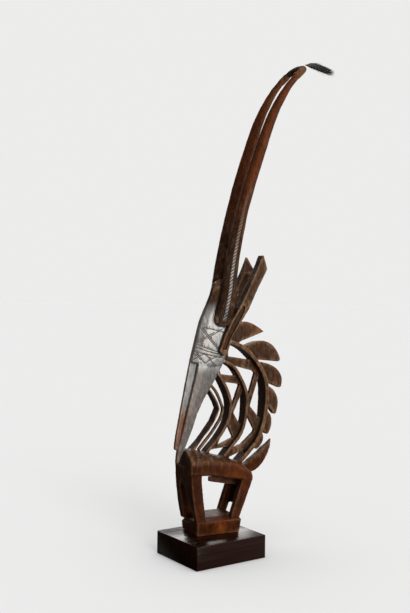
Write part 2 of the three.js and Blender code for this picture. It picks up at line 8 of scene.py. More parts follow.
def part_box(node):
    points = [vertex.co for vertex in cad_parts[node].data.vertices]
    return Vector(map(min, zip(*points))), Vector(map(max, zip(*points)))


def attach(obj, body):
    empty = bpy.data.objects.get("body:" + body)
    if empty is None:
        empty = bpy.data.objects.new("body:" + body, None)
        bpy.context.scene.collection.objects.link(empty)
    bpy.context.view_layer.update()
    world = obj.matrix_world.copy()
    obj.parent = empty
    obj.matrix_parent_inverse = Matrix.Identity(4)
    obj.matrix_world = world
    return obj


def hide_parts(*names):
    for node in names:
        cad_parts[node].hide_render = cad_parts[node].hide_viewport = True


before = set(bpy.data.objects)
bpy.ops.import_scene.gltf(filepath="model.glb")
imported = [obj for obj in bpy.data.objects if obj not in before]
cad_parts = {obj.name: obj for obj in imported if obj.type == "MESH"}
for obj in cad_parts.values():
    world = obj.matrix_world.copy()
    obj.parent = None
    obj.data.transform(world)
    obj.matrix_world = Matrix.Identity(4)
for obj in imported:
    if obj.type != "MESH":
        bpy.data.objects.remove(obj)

# Looks of a carved wooden crest headdress on its plinth. Blender works in metres here.
# The carving's own frame is in millimetres: x to its left, y from face to tail, z up from the plinth's top.
MM = 0.001
FIGURE_TURN = math.radians(-10)
FIGURE_PLACE = (-0.0125, 0.0065, 0.0453)

# Camera, as measured from the photograph
CAMERA_PLACE = (1.3726, -0.9774, 0.5092)
CAMERA_AZIMUTH = math.radians(55.137)
CAMERA_PITCH = math.radians(-0.608)
CAMERA_ROLL = math.radians(0.711)
CAMERA_LENS = 50.24
SENSOR = 36

# Carving: voxel size of the first mesh, rounds of smoothing and triangles of the final one
VOXEL = 0.0011
SMOOTHING_ROUNDS = 2
CARVING_TRIANGLES = 196000

# Uneven surface left by adze and knife, and raised grain: [size in millimetres, height, seed]
TOOL_MARKS = [
    ((17, 17, 24), 0.34, 1),
    ((6, 6, 9), 0.14, 2),
    ((1.6, 1.6, 16), 0.06, 3),
]

# Horn centre line: [z, y, distance from the middle plane, half width]
HORN_LINE = [
    (408, 9, 22, 8),
    (434, 15, 24, 16),
    (474, 22.5, 24.5, 14.6),
    (505, 26, 24, 13.7),
    (540, 31, 24, 13),
    (590, 40.5, 24, 12.2),
    (640, 52, 24, 11.6),
    (690, 66, 24.6, 11.8),
    (740, 82, 25.5, 11.8),
    (780, 95, 26.2, 11.2),
    (820, 109.5, 27, 10.2),
    (850, 123, 28.2, 9),
    (875, 137, 29.2, 8.1),
    (895, 150, 30.3, 7.1),
    (917, 168.5, 31.4, 7.2),
    (933, 184.5, 32, 5.6),
]
HORN_FROM_Z = 415
HORN_FADE_IN = 6
# The horn ends between these distances from its centre line, in half widths
HORN_EDGE = (1.22, 1.34)

# Cuts on the lower horns: slanting hatches on both sides of a roped ridge that runs up the outer side.
# Spacing is measured up the horn in millimetres. Slope is rise for each millimetre round it.
HATCH_TO_Z = 600
HATCH_FADE = 130
HATCH_UNDER_ROPE = 0.5
HATCH_SPACING = 7.4
HATCH_SLOPE = 1.6
ROPE_TO_Z = 700
ROPE_FADE = 90
ROPE_AT = math.radians(-14)
ROPE_HALF_WIDTH = 3.3
ROPE_SIDE_FADE = 1
ROPE_SPACING = 7.0
ROPE_SLOPE = 1.0
ROPE_HEIGHT = 0.8
CUTS_FADE_IN = 8
# The inner side of each horn, beyond this angle from its outer side, has no cuts
CUT_SIDE = (math.radians(110), math.radians(135))
# Each cut is as deep as this part of a cosine wave is high
CUT_WAVE = (0, 0.7)

# Rear edge of the face and head: [z, y]
HEAD_REAR = [
    (139, -70),
    (206, -44.5),
    (264, -22),
    (298, -1),
    (333, 18),
    (359, 27),
    (390, 35),
    (418, 41),
    (470, 40),
]
HEAD_REAR_FADE = 3
HEAD_HALF_WIDTH = 19.5
HEAD_SIDE_FADE = 0.5
HEAD_FROM_Z = (134, 138)
HEAD_TO_Z = (425, 462)
# Horn shares between which a point stops belonging to the head
HORN_OVER_HEAD = (0.3, 0.7)

# Rear edge of the nose ridge: [z, y]
RIDGE_REAR = [
    (139, -76),
    (176, -70),
    (206, -61),
    (264, -49),
    (333, -36),
    (334, -80),
    (480, -80),
]
RIDGE_FADE = 3
RED_RIDGE_TO_Z = (225, 262)

# Engraved lines on each side of the face: runs of points [y, z]
FACE_LINES = [
    [(-24, 405), (-8, 401.5), (4, 398.5), (24, 394)],
    [(-31, 405), (-18, 387), (-8, 375), (4, 361)],
    [(-27.5, 405), (-14.5, 387), (-4.5, 375), (6, 363)],
    [(-41, 375), (-29, 379.5), (-17, 385), (-2, 393), (12, 401)],
    [(-40, 379), (-28, 383), (-16, 388.5), (-4, 395)],
    [(-44.5, 374), (-20, 364), (-3, 358.5), (20, 355)],
    [(-48.5, 369), (-22, 359.5), (-4, 354), (16, 350.5)],
    [(-49.5, 360.2), (-30, 354), (-9, 349), (12, 345)],
    [(-51, 339), (-37, 346.5), (-23, 354)],
    [(-40, 355.5), (-31, 345), (-23, 334)],
    [(-52, 347.8), (-44, 352.8), (-37, 348), (-31, 341)],
    [(-23, 353), (-12, 343), (-4, 331)],
    [(-22, 334), (-10, 342), (4, 347)],
]
ENGRAVING_DEPTH = 0.6
ENGRAVING_WIDTH = 0.62
# How squarely a surface has to face sideways to be engraved
ENGRAVED_FACING = (0.5, 0.75)

# Worn edges, painted lighter as edge highlights too, and hollows darkened by dirt and painted shade, from
# how far a point stands out of its close and its wide surroundings.
# Rounds of averaging, and [start in millimetres, span in millimetres, share]
CLOSE_ROUNDS = 3
WIDE_ROUNDS = 14
WEAR_AND_HIGHLIGHT_CLOSE = (0.09, 0.22, 0.6)
WEAR_AND_HIGHLIGHT_WIDE = (0.35, 0.7, 0.4)
HOLLOW_CLOSE = (0.07, 0.25, 0.5)
HOLLOW_WIDE = (0.3, 0.9, 0.5)
# The foot of the horns, up to this height above their start, gets no worn, painted-highlight edges
HORN_FOOT_HEIGHT = 30

# Grey polish, painted as a grey sheen that stands in for the lamp's reflection, and a painted highlight on
# the roped ridge: duller on the flanks of the lower face, on the nose ridge and up the roped ridge
LOW_FACE_TO_Z = (315, 330)
LOW_FACE_DULLER = 0.48
RIDGE_DULLER = 0.15
ROPE_POLISH_AND_SHEEN = 0.75
ROPE_DULLER = 0.75
ROPE_DULLER_Z = (500, 640)

# Orange patches, seen from the side: [y, z, reach, share]
ORANGE_SPOTS = [
    (100, 398, 15, 1.0),
    (80, 358, 9, 0.5),
    (8, 14, 14, 0.9),
    (60, 340, 14, 0.35),
    (12, 375, 12, 0.4),
    (40, 113, 22, 0.35),
]
ORANGE_HORN_Z = (560, 760)
# Uneven shares are [mean, swing, size of the patches in millimetres, seed]
ORANGE_HORN = (0.3, 0.25, (15, 15, 45), 8)

# Red wood: most on block, legs and body, and up the horns
RED_BODY_TO_Z = (125, 165)
RED_BODY = 0.6
RED_HORN_Z = (520, 720)
RED_HORN = 0.95
RED_UNEVEN = (0.28, 0.3, (21, 21, 34), 5)

# Olive-grey dust: most on mane, ears, belly rod and horn tips. On the lower horns it lies on the near horn
# alone: painted light, with the far horn left dark as in shade.
DUSTY_MANE_Z = (125, 175)
DUSTY_MANE = (0.42, 0.5, (13, 13, 19), 6)
DUSTY_LIT_HORN_TO_Z = (470, 590)
DUSTY_LIT_HORN = 0.5
EAR_FROM_X = (20, 23)
EAR_FROM_Z = (350, 352)
DUSTY_EAR = (0.75, 0.25, (9, 9, 16), 9)
ROD_HALF_WIDTH = 5
ROD_Y = (-8, 66)
ROD_Z = (84, 109.5)
DUSTY_ROD = 0.75
DUSTY_TIP_Y = (170, 176)
DUSTY_TIP = 0.85

# Noises of the materials: [scale, stretch, detail, roughness, low, high]
PATCH_NOISE = (34, (1, 1, 0.6), 4, 0.55, 0.36, 0.64)
GRAIN_NOISE = (420, (1, 1, 0.07), 5, 0.55, 0.35, 0.68)
MOTTLE_NOISE = (150, (1, 1, 0.5), 6, 0.65, 0.38, 0.66)
PLINTH_NOISE = (160, (1, 0.06, 1), 5, 0.55, 0.3, 0.7)
HAIR_NOISE = (900, (1, 1, 1), 2, 0.55, 0.35, 0.65)
THREAD_NOISE = (2500, (1, 1, 1), 2, 0.55, 0.35, 0.65)

# Colours of the carving, pairs from the darker to the lighter one
BROWN_WOOD = ((0.014, 0.0052, 0.0022), (0.042, 0.0165, 0.007))
RED_WOOD = ((0.026, 0.0052, 0.0012), (0.070, 0.0160, 0.0035))
# Painted sheen: grey standing in for the lamp's reflection on the polished face and the roped ridge
GREY_SHEEN = ((0.175, 0.183, 0.186), (0.33, 0.335, 0.33))
ORANGE = (0.27, 0.066, 0.011)
# Dust, also laid on the lower near horn alone as painted light
DUST_AND_LIGHT_COLOUR = (0.088, 0.060, 0.038)
LIGHT_GRAIN = (0.115, 0.044, 0.016)
DARK_MOTTLE = (0.010, 0.0035, 0.0015)
# Reddish tint of that painted sheen on the lower nose ridge
RED_RIDGE = (0.17, 0.09, 0.068)
# Bare wood on worn edges, light enough to serve as painted edge highlights too
BARE_AND_HIGHLIGHT_BROWN = (0.28, 0.175, 0.105)
BARE_AND_HIGHLIGHT_RED = (0.12, 0.036, 0.012)
# Dirt and painted shade in hollows
HOLLOW_DIRT_AND_SHADE = (0.008, 0.004, 0.002)
# Dirt and painted shade in the cuts
CUT_DIRT_AND_SHADE = (0.010, 0.006, 0.004)

# How much of each layer shows at most, and how little dust (with the painted light on the near horn) and
# wear (with its painted edge highlights) show where the mottle is dark
ORANGE_SHOWS = 0.8
GRAIN_SHOWS = 0.25
MOTTLE_SHOWS = 0.55
SHEEN_SHOWS = 0.92
WEAR_AND_HIGHLIGHT_SHOWS = 0.9
HOLLOW_SHOWS = 0.5
CUTS_SHOW = 0.85
ENGRAVED_SHOWS = 0.75
DUST_LEAST = 0.5
WEAR_AND_HIGHLIGHT_LEAST = 0.3

# Surface of the carving: roughness of plain and polished wood, gloss without and with polish, relief
PLAIN_ROUGHNESS = (0.38, 0.58)
POLISHED_ROUGHNESS = (0.28, 0.40)
METALLIC = (0.1, 0.55)
WOOD_SPECULAR = 0.05
GRAIN_RELIEF = 0.35
MOTTLE_RELIEF = 0.25
CUT_RELIEF = 0.9
WOOD_BUMP = (0.45, 0.0009)

# Plinth: dark polished wood with rounded edges
PLINTH_COLOURS = ((0.0065, 0.0018, 0.0009), (0.0150, 0.0045, 0.0018))
PLINTH_ROUGHNESS = (0.18, 0.30)
PLINTH_SPECULAR = 0.14
PLINTH_BUMP = (0.12, 0.0003)
PLINTH_EDGE = 0.0016
PLINTH_EDGE_STEPS = 4

# Hair tuft: the line its bundle follows in the carving's frame, and its half width along that line
TUFT_LINE = [
    (32.7, 188, 939.6),
    (33.2, 197, 940.3),
    (34.6, 211, 938.9),
    (36, 226, 935.2),
    (38, 240, 931.2),
    (40, 253, 927.2),
]
TUFT_SPREAD = [0.8, 4.2, 6.2, 6.2, 5.6, 5.0]
TUFT_SEED = 7
STRANDS = 1300
LOOSE_STRANDS = 70
STRAND_STEPS = 8
STRAND_SIDES = 3
STRAND_RADIUS = 0.2
STRAND_TAPER = 0.75
SHORTEST_STRAND = 0.5
# How far the tips of the strands wander, and how much further those of loose ones do
LIFT_SPREAD = 1.1
LOOSE_LIFT = 0.8
LOOSE_LIFT_SPREAD = 4.5
SWAY_SPREAD = 1.1
LOOSE_SWAY_SPREAD = 2
HAIR_COLOURS = ((0.006, 0.005, 0.008), (0.03, 0.018, 0.016))
HAIR_ROUGHNESS = 0.38

# Thread wound round the root of the hair: its two ends, and the run of its windings
THREAD_START = (30.5, 185.5, 939.6)
THREAD_END = (33.4, 194.5, 939.5)
WINDING_START = (32, 187, 940)
WINDING_RUN = (1.2, 6.5, -0.3)
WINDING_REACH = 1.0
WINDING_WIDENS = 0.5
WINDING_TURNS = 4
WINDING_STEPS = 60
THREAD_RADIUS = 0.55
THREAD_SIDES = 6
THREAD_COLOURS = ((0.16, 0.045, 0.03), (0.32, 0.12, 0.08))
THREAD_ROUGHNESS = 0.8
THREAD_BUMP = (0.5, 0.0004)

# Pale floor, and the pale background that the camera sees
BACKGROUND = (0.842, 0.8405, 0.8365)
FLOOR_REACH = 60
FLOOR_PAINT = (0.76, 0.765, 0.77)

# Soft lights on the pieces alone: [name, azimuth, elevation, distance, size, power, colour].
# Azimuth 0 is +X, 90 is +Y.
LIGHT_TARGET = (0, 0.03, 0.5)
SOFT_LIGHTS = [
    ("window", -6, 12, 2.4, (1.7, 1.9), 60, (1, 0.98, 0.95)),
    ("window_behind", 62, 28, 2.6, (1.0, 1.4), 26, (1, 0.98, 0.96)),
    ("fill_behind", 150, 20, 2.6, (1.6, 1.6), 34, (1, 0.98, 0.96)),
    ("fill_front", -118, 12, 2.6, (1.5, 1.5), 4, (1, 0.98, 0.96)),
]
# Suns on the floor alone, which keep it as pale as the background: [name, azimuth, elevation, width, power]
FLOOR_LAMPS = [
    ("floor_lamp", 0, 90, 60, 1.92),
    ("floor_side_lamp", -6, 35, 25, 0.74),
]
# Soft glow from two sides: [side it comes from, where it starts and is full, strength at both]
GLOW_COLOUR = (1, 0.97, 0.94)
SIDE_GLOWS = [
    ((0.75, 0.45, 0.48), (-0.7, 1), (0.015, 0.5)),
    ((-0.79, 0.56, 0.26), (0.4, 0.95), (0, 0.3)),
]


# Places and numbers

def figure_matrix():
    return Matrix.Translation(FIGURE_PLACE) @ Matrix.Rotation(FIGURE_TURN, 4, "Z")


def to_figure(points):
    """Points of the part's frame, in metres, as points of the carving's frame, in millimetres."""
    inverse = np.array(figure_matrix().inverted())
    return (points @ inverse[:3, :3].T + inverse[:3, 3]) / MM


def turned_to_figure(vectors):
    inverse = np.array(figure_matrix().inverted())
    return vectors @ inverse[:3, :3].T


def from_figure(x, y, z):
    """A point of the carving's frame, in millimetres, in the part's frame, in metres."""
    return figure_matrix() @ Vector((x * MM, y * MM, z * MM))


def smooth_step(low, high, value):
    t = np.clip((value - low) / (high - low), 0, 1)
    return t * t * (3 - 2 * t)


def between(low, high, value):
    return (value > low) & (value < high)


def lattice_values(cells, seed):
    """One fixed value from -1 to 1 for each lattice cell, from a mix of large primes and bit shifts."""
    n = cells[:, 0] * 374761393 + cells[:, 1] * 668265263 + cells[:, 2] * 1440662683 + seed * 144269504
    n = (n ^ (n >> 13)) * 1274126177
    n = n ^ (n >> 16)
    return (n & 0xFFFF) / 32767.5 - 1


def smooth_noise(points, seed):
    """Smooth noise from -1 to 1 with features one unit across."""
    base = np.floor(points).astype(np.int64)
    part = points - base
    part = part * part * (3 - 2 * part)
    total = np.zeros(len(points))
    for corner in np.ndindex(2, 2, 2):
        step = np.array(corner)
        weight = np.prod(np.where(step == 1, part, 1 - part), axis=1)
        total += weight * lattice_values(base + step, seed)
    return total


def uneven(place, mean, swing, size, seed):
    """A share that swings round its mean from patch to patch."""
    return mean + swing * smooth_noise(place / size, seed)


# Meshes

def mesh_points(mesh):
    flat = np.empty(len(mesh.vertices) * 3)
    mesh.vertices.foreach_get("co", flat)
    return flat.reshape(-1, 3)


def mesh_normals(mesh):
    flat = np.empty(len(mesh.vertices) * 3, np.float32)
    mesh.vertices.foreach_get("normal", flat)
    return flat.reshape(-1, 3).astype(float)


def mesh_edges(mesh):
    flat = np.empty(len(mesh.edges) * 2, np.int32)
    mesh.edges.foreach_get("vertices", flat)
    return flat.reshape(-1, 2)


def neighbour_mean(values, edges, rounds):
    """Each vertex's values averaged with its neighbours', so many rounds over."""
    first, second = edges[:, 0], edges[:, 1]
    count = len(values)
    share = np.bincount(first, minlength=count) + np.bincount(second, minlength=count)
    columns = values.reshape(count, -1).copy()
    for _ in range(rounds):
        for c in range(columns.shape[1]):
            column = columns[:, c]
            total = np.bincount(first, column[second], count) + np.bincount(second, column[first], count)
            columns[:, c] = (column + total) / (share + 1)
    return columns.reshape(values.shape)


def move_points(mesh, points):
    mesh.vertices.foreach_set("co", points.ravel())
    mesh.update()


def set_attribute(mesh, name, values):
    attribute = mesh.attributes.new(name, "FLOAT", "POINT")
    attribute.data.foreach_set("value", values.astype(np.float32))


def new_piece(name, mesh):
    piece = bpy.data.objects.new(name, mesh)
    bpy.context.scene.collection.objects.link(piece)
    return piece


def applied(piece):
    """The piece's mesh with its modifiers applied, put in place of its old one."""
    bpy.context.view_layer.update()
    evaluated = piece.evaluated_get(bpy.context.evaluated_depsgraph_get())
    mesh = bpy.data.meshes.new_from_object(evaluated)
    piece.modifiers.clear()
    old = piece.data
    piece.data = mesh
    bpy.data.meshes.remove(old)
    return mesh


def dress(piece, material, node):
    """Smooth shading, its material, and the node, body and slot that the piece stands for."""
    mesh = piece.data
    mesh.polygons.foreach_set("use_smooth", np.ones(len(mesh.polygons), bool))
    mesh.materials.clear()
    mesh.materials.append(material)
    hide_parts(node)
    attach(piece, "root")
    return piece


# Regions of the carving

def horn_place(points):
    """For each point: its level offset from the nearer horn's centre line, and the horn's half width."""
    z = points[:, 2]
    table = np.array(HORN_LINE, float)
    centre_y = np.interp(z, table[:, 0], table[:, 1])
    apart = np.interp(z, table[:, 0], table[:, 2])
    half = np.interp(z, table[:, 0], table[:, 3])
    outward = np.abs(points[:, 0]) - apart
    backward = points[:, 1] - centre_y
    return outward, backward, half


def horn_share(points):
    """1 on the horns, 0 elsewhere."""
    outward, backward, half = horn_place(points)
    away = np.hypot(outward, backward) / half
    share = 1 - smooth_step(*HORN_EDGE, away)
    return share * smooth_step(HORN_FROM_Z - HORN_FADE_IN, HORN_FROM_Z, points[:, 2])


def behind_line(points, line):
    """How far each point is behind an edge [z, y] at its height."""
    return points[:, 1] - np.interp(points[:, 2], *zip(*line))


def head_share(points):
    """1 on the face and the lower head, 0 elsewhere."""
    share = 1 - smooth_step(0, HEAD_REAR_FADE, behind_line(points, HEAD_REAR))
    inner = HEAD_HALF_WIDTH - HEAD_SIDE_FADE
    outer = HEAD_HALF_WIDTH + HEAD_SIDE_FADE
    share *= 1 - smooth_step(inner, outer, np.abs(points[:, 0]))
    share *= smooth_step(*HEAD_FROM_Z, points[:, 2])
    share *= 1 - smooth_step(*HEAD_TO_Z, points[:, 2])
    return share * (1 - smooth_step(*HORN_OVER_HEAD, horn_share(points)))


def ridge_share(points):
    """1 on the nose ridge, 0 elsewhere."""
    return head_share(points) * (1 - smooth_step(-RIDGE_FADE, RIDGE_FADE, behind_line(points, RIDGE_REAR)))


def horn_cuts(points):
    """For each point of the horns: millimetres round them, share of the roped ridge and of the hatches."""
    outward, backward, half = horn_place(points)
    around = np.arctan2(backward, outward)
    across = (around - ROPE_AT) * half
    up = points[:, 2]
    on_horn = horn_share(points) * smooth_step(HORN_FROM_Z, HORN_FROM_Z + CUTS_FADE_IN, up)
    on_horn *= 1 - smooth_step(*CUT_SIDE, np.abs(around))
    rope_edge = ROPE_HALF_WIDTH + ROPE_SIDE_FADE
    rope = on_horn * (1 - smooth_step(ROPE_HALF_WIDTH - ROPE_SIDE_FADE, rope_edge, np.abs(across)))
    rope *= 1 - smooth_step(ROPE_TO_Z - ROPE_FADE, ROPE_TO_Z, up)
    hatched = on_horn * smooth_step(ROPE_HALF_WIDTH - HATCH_UNDER_ROPE, rope_edge, np.abs(across))
    hatched *= 1 - smooth_step(HATCH_TO_Z - HATCH_FADE, HATCH_TO_Z, up)
    return across, rope, hatched


def distance_to_run(across, up, run):
    nearest = np.full(len(across), np.inf)
    for (y0, z0), (y1, z1) in zip(run, run[1:]):
        dy, dz = y1 - y0, z1 - z0
        t = np.clip(((across - y0) * dy + (up - z0) * dz) / (dy * dy + dz * dz), 0, 1)
        nearest = np.minimum(nearest, np.hypot(across - y0 - t * dy, up - z0 - t * dz))
    return nearest


def face_engraving(points, normals):
    """Depth share of the lines cut into the sides of the face."""
    on_side = smooth_step(*ENGRAVED_FACING, np.abs(normals[:, 0])) * head_share(points)
    depth = np.zeros(len(points))
    for run in FACE_LINES:
        away = distance_to_run(points[:, 1], points[:, 2], run)
        depth = np.maximum(depth, np.exp(-((away / ENGRAVING_WIDTH) ** 2)))
    return depth * on_side


# What the wood's material needs to know at each point

def standing_out(points, normals, edges, rounds):
    """How far each point stands out of its surroundings, in millimetres."""
    return ((points - neighbour_mean(points, edges, rounds)) * normals).sum(1) / MM


def two_ramps(close, wide, close_ramp, wide_ramp):
    total = 0
    for value, (start, span, share) in ((close, close_ramp), (wide, wide_ramp)):
        total = total + np.clip((value - start) / span, 0, 1) * share
    return total


def polish_and_sheen_share(place, rope):
    """Polish with a painted grey sheen on the face, and a painted highlight on the roped ridge of the
    horns.
    """
    z = place[:, 2]
    face = head_share(place)
    ridge = ridge_share(place)
    low_face = 1 - smooth_step(*LOW_FACE_TO_Z, z)
    on_face = face * (1 - LOW_FACE_DULLER * low_face * (1 - ridge)) * (1 - RIDGE_DULLER * ridge)
    on_rope = ROPE_POLISH_AND_SHEEN * rope * (1 - ROPE_DULLER * smooth_step(*ROPE_DULLER_Z, z))
    return np.maximum(on_face, on_rope)


def orange_share(place):
    total = np.zeros(len(place))
    for y, z, reach, share in ORANGE_SPOTS:
        away = np.hypot(place[:, 1] - y, place[:, 2] - z) / reach
        total += share * np.exp(-away * away)
    upper_horn = horn_share(place) * smooth_step(*ORANGE_HORN_Z, place[:, 2])
    total += upper_horn * uneven(place, *ORANGE_HORN)
    return np.clip(total, 0, 1)


def warm_share(place):
    """How red the wood is."""
    z = place[:, 2]
    mean, swing, size, seed = RED_UNEVEN
    warm = mean + RED_BODY * (1 - smooth_step(*RED_BODY_TO_Z, z))
    warm = np.maximum(warm, RED_HORN * horn_share(place) * smooth_step(*RED_HORN_Z, z))
    warm += swing * smooth_noise(place / size, seed)
    return np.clip(warm, 0, 1)


def dust_and_light_share(place):
    """How much dust lies on the wood, with painted light on the lower near horn, the only one of the two
    horns that gets it.
    """
    x, y, z = place.T
    dust_and_light = smooth_step(*DUSTY_MANE_Z, z) * uneven(place, *DUSTY_MANE)
    horn = horn_share(place)
    # Dust on the lower horns goes on the near horn alone (x > 0): painted light, with the far horn kept
    # dark as in shade
    dust_and_light = dust_and_light * (1 - horn) + DUSTY_LIT_HORN * horn * (x > 0) * (1 - smooth_step(*DUSTY_LIT_HORN_TO_Z, z))
    ear = smooth_step(*EAR_FROM_X, np.abs(x)) * smooth_step(*EAR_FROM_Z, z) * (1 - horn) * (y > 0)
    dust_and_light = np.maximum(dust_and_light, ear * uneven(place, *DUSTY_EAR))
    rod = (np.abs(x) < ROD_HALF_WIDTH) & between(*ROD_Y, y) & between(*ROD_Z, z)
    dust_and_light = np.maximum(dust_and_light, DUSTY_ROD * rod)
    return np.maximum(np.clip(dust_and_light, 0, 1), DUSTY_TIP * smooth_step(*DUSTY_TIP_Y, y))


def paint_shares(mesh):
    points = mesh_points(mesh)
    normals = mesh_normals(mesh)
    edges = mesh_edges(mesh)
    place = to_figure(points)
    z = place[:, 2]
    close = standing_out(points, normals, edges, CLOSE_ROUNDS)
    wide = standing_out(points, normals, edges, WIDE_ROUNDS)
    across, rope, hatched = horn_cuts(place)
    horn_foot = horn_share(place) * (z < HORN_FROM_Z + HORN_FOOT_HEIGHT)
    # Worn edges, painted lighter: real wear and painted edge highlights
    set_attribute(mesh, "wear_and_highlight", two_ramps(close, wide, WEAR_AND_HIGHLIGHT_CLOSE, WEAR_AND_HIGHLIGHT_WIDE) * (1 - horn_foot))
    # Hollows, painted darker: dirt and painted shade
    set_attribute(mesh, "hollow", two_ramps(-close, -wide, HOLLOW_CLOSE, HOLLOW_WIDE))
    # Polish, with a painted grey sheen on the face and a painted highlight on the rope
    set_attribute(mesh, "polish_and_sheen", polish_and_sheen_share(place, rope))
    set_attribute(mesh, "engraved", face_engraving(place, turned_to_figure(normals)))
    set_attribute(mesh, "rope", rope)
    set_attribute(mesh, "hatched", hatched)
    set_attribute(mesh, "horn_across", across)
    set_attribute(mesh, "up", z)
    set_attribute(mesh, "warm", warm_share(place))
    set_attribute(mesh, "orange", orange_share(place))
    # Dust, with painted light on the lower near horn
    set_attribute(mesh, "dust_and_light", dust_and_light_share(place))
    set_attribute(mesh, "red_ridge", ridge_share(place) * (1 - smooth_step(*RED_RIDGE_TO_Z, z)))


# Materials

class Nodes:
    """A small helper that adds nodes to one material and links them."""

    def __init__(self, name):
        self.material = bpy.data.materials.new(name)
        self.material.use_nodes = True
        self.tree = self.material.node_tree
        self.tree.nodes.clear()
        self.shader = self.tree.nodes.new("ShaderNodeBsdfPrincipled")
        output = self.tree.nodes.new("ShaderNodeOutputMaterial")
        self.tree.links.new(self.shader.outputs[0], output.inputs[0])
        self.coordinates = self.tree.nodes.new("ShaderNodeTexCoord")

    def link(self, source, target):
        self.tree.links.new(source, target)

    def surface(self, name, source):
        """Links a value to one of the shader's sockets."""
        self.link(source, self.shader.inputs[name])

    def number(self, name, value):
        self.shader.inputs[name].default_value = value

    def attribute(self, name):
        found = self.tree.nodes.new("ShaderNodeAttribute")
        found.attribute_name = name
        return found.outputs["Fac"]

    def noise(self, scale, stretch, detail, roughness, low, high):
        """Noise over the surface, from 0 below its low value to 1 above its high one."""
        mapping = self.tree.nodes.new("ShaderNodeMapping")
        mapping.inputs["Scale"].default_value = stretch
        self.link(self.coordinates.outputs["Object"], mapping.inputs["Vector"])
        texture = self.tree.nodes.new("ShaderNodeTexNoise")
        texture.inputs["Scale"].default_value = scale
        texture.inputs["Detail"].default_value = detail
        texture.inputs["Roughness"].default_value = roughness
        self.link(mapping.outputs[0], texture.inputs["Vector"])
        return self.remap(texture.outputs["Fac"], low, high)

    def remap(self, value, low, high, to_low=0, to_high=1):
        node = self.tree.nodes.new("ShaderNodeMapRange")
        node.inputs["From Min"].default_value = low
        node.inputs["From Max"].default_value = high
        node.inputs["To Min"].default_value = to_low
        node.inputs["To Max"].default_value = to_high
        self.link(value, node.inputs["Value"])
        return node.outputs[0]

    def math(self, kind, first, second=0):
        node = self.tree.nodes.new("ShaderNodeMath")
        node.operation = kind
        for socket, value in zip(node.inputs, (first, second)):
            if isinstance(value, (int, float)):
                socket.default_value = value
            else:
                self.link(value, socket)
        return node.outputs[0]

    def mix(self, share, first, second):
        """The first colour at share 0, the second at share 1."""
        node = self.tree.nodes.new("ShaderNodeMix")
        node.data_type = "RGBA"
        factor, a, b = node.inputs[0], node.inputs[6], node.inputs[7]
        for socket, value in zip((factor, a, b), (share, first, second)):
            if isinstance(value, tuple):
                socket.default_value = (*value, 1)
            else:
                self.link(value, socket)
        return node.outputs[2]

    def lay_over(self, colour, second, share, shows):
        """The colour, with so much of a second one over it where the share is 1."""
        return self.mix(self.math("MULTIPLY", share, shows), colour, second)

    def bump(self, height, strength, distance):
        node = self.tree.nodes.new("ShaderNodeBump")
        node.inputs["Strength"].default_value = strength
        node.inputs["Distance"].default_value = distance
        self.link(height, node.inputs["Height"])
        self.surface("Normal", node.outputs[0])


def slanting_cuts(wood, share, slope, spacing, mirrored):
    """Share of slanting cuts round the horns, evenly spaced up them."""
    across = wood.attribute("horn_across")
    if mirrored:
        across = wood.math("ABSOLUTE", across)
    rise = wood.math("SUBTRACT", wood.attribute("up"), wood.math("MULTIPLY", across, slope))
    phase = wood.math("MULTIPLY", rise, 2 * math.pi / spacing)
    wave = wood.remap(wood.math("COSINE", phase), *CUT_WAVE)
    return wood.math("MULTIPLY", wave, wood.attribute(share))


def all_cuts(wood):
    """Share of every cut: hatches, ticks across the rope and engraved lines."""
    hatches = slanting_cuts(wood, "hatched", HATCH_SLOPE, HATCH_SPACING, True)
    engraved = wood.math("MULTIPLY", wood.attribute("engraved"), ENGRAVED_SHOWS)
    ticks = slanting_cuts(wood, "rope", ROPE_SLOPE, ROPE_SPACING, False)
    return wood.math("MAXIMUM", wood.math("MAXIMUM", hatches, ticks), engraved)


def plain_wood_colour(wood, grain, mottle):
    """Brown or red wood with orange patches, dust, painted light on the lower near horn, grain and dark
    mottle.
    """
    patches = wood.noise(*PATCH_NOISE)
    brown = wood.mix(patches, *BROWN_WOOD)
    red = wood.mix(patches, *RED_WOOD)
    colour = wood.mix(wood.attribute("warm"), brown, red)
    colour = wood.lay_over(colour, ORANGE, wood.attribute("orange"), ORANGE_SHOWS)
    # Dust, and painted light on the lower near horn
    dust_and_light_layer = wood.math("MULTIPLY", wood.attribute("dust_and_light"), wood.remap(mottle, 0, 1, DUST_LEAST, 1))
    colour = wood.mix(dust_and_light_layer, colour, DUST_AND_LIGHT_COLOUR)
    colour = wood.lay_over(colour, LIGHT_GRAIN, grain, GRAIN_SHOWS)
    return wood.lay_over(colour, DARK_MOTTLE, wood.remap(mottle, 1, 0), MOTTLE_SHOWS)


